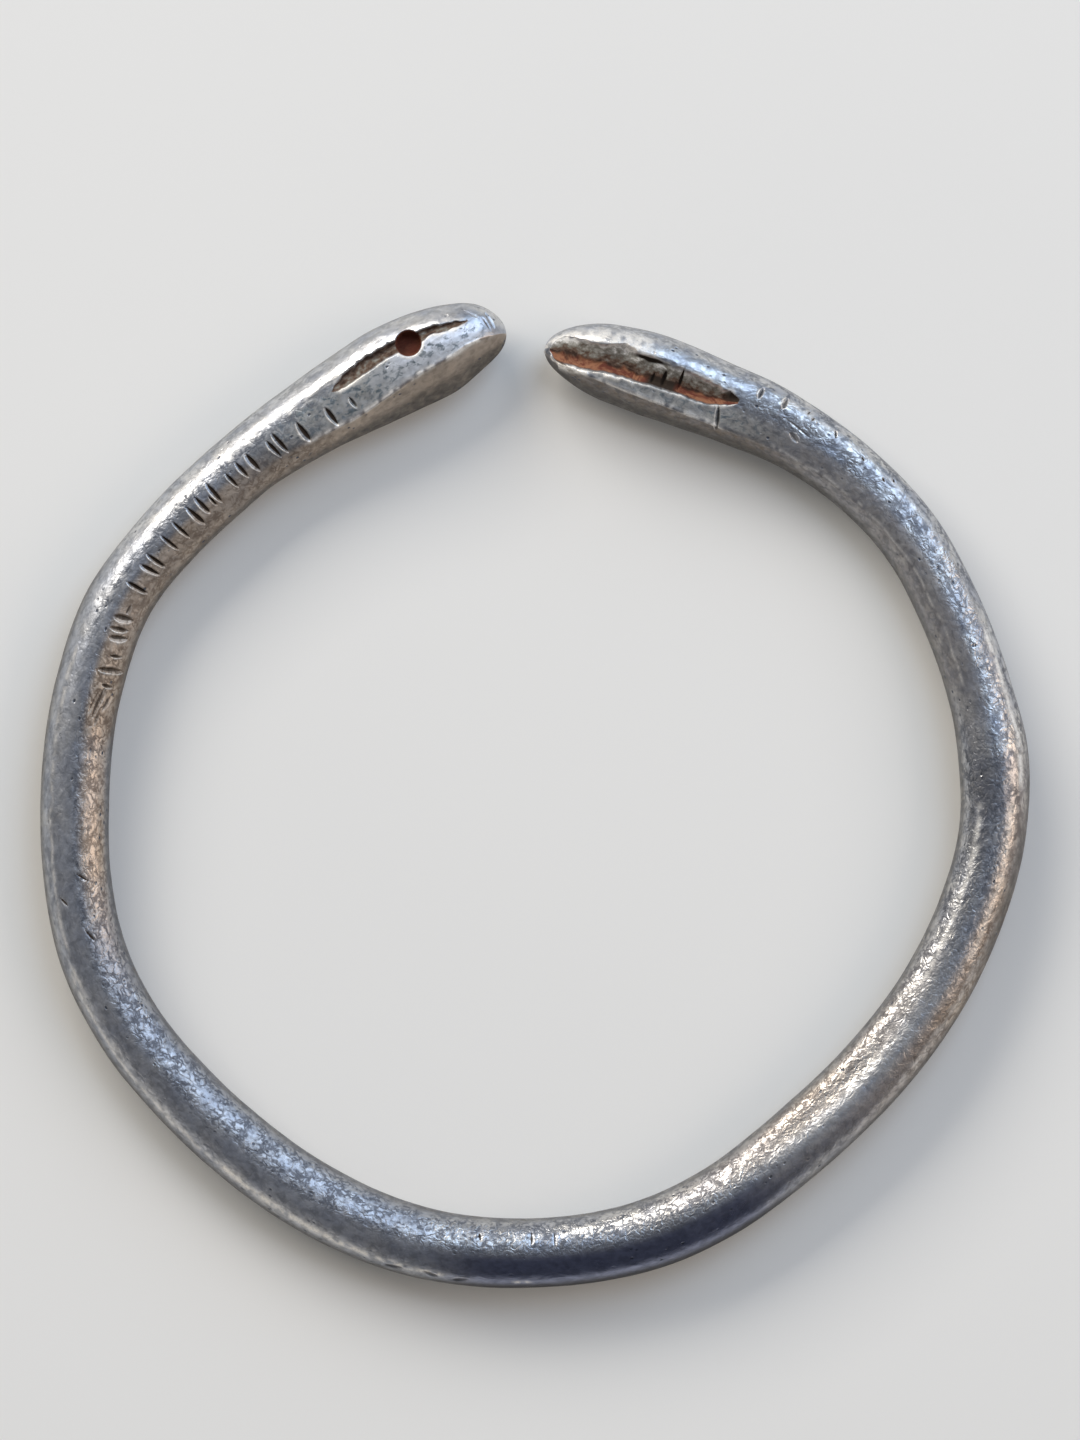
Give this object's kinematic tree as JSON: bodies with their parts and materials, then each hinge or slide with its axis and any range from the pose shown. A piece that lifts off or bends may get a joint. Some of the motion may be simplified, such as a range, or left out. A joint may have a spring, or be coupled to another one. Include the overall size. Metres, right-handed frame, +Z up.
{
  "type": "snake-head penannular bracelet",
  "caption": "Open silver hoop bracelet of round rod, its facing ends shaped as snake heads, with chisel nicks along one arm.",
  "frame": {"origin": "bottom centre of the box round the hoop, as it lies flat", "axes": "+Z up, square to the hoop's plane; +Y from the hoop's middle towards its mouth; +X to the right, the side of the head with the long open cut"},
  "size_m": [0.068, 0.0676, 0.0048],
  "materials": {
    "worn_silver": "old worn silver, toned grey-blue and tan, with dark soil in the cuts"
  },
  "bodies": {
    "root": {"snake_bracelet": "worn_silver"}
  },
  "joints": []
}
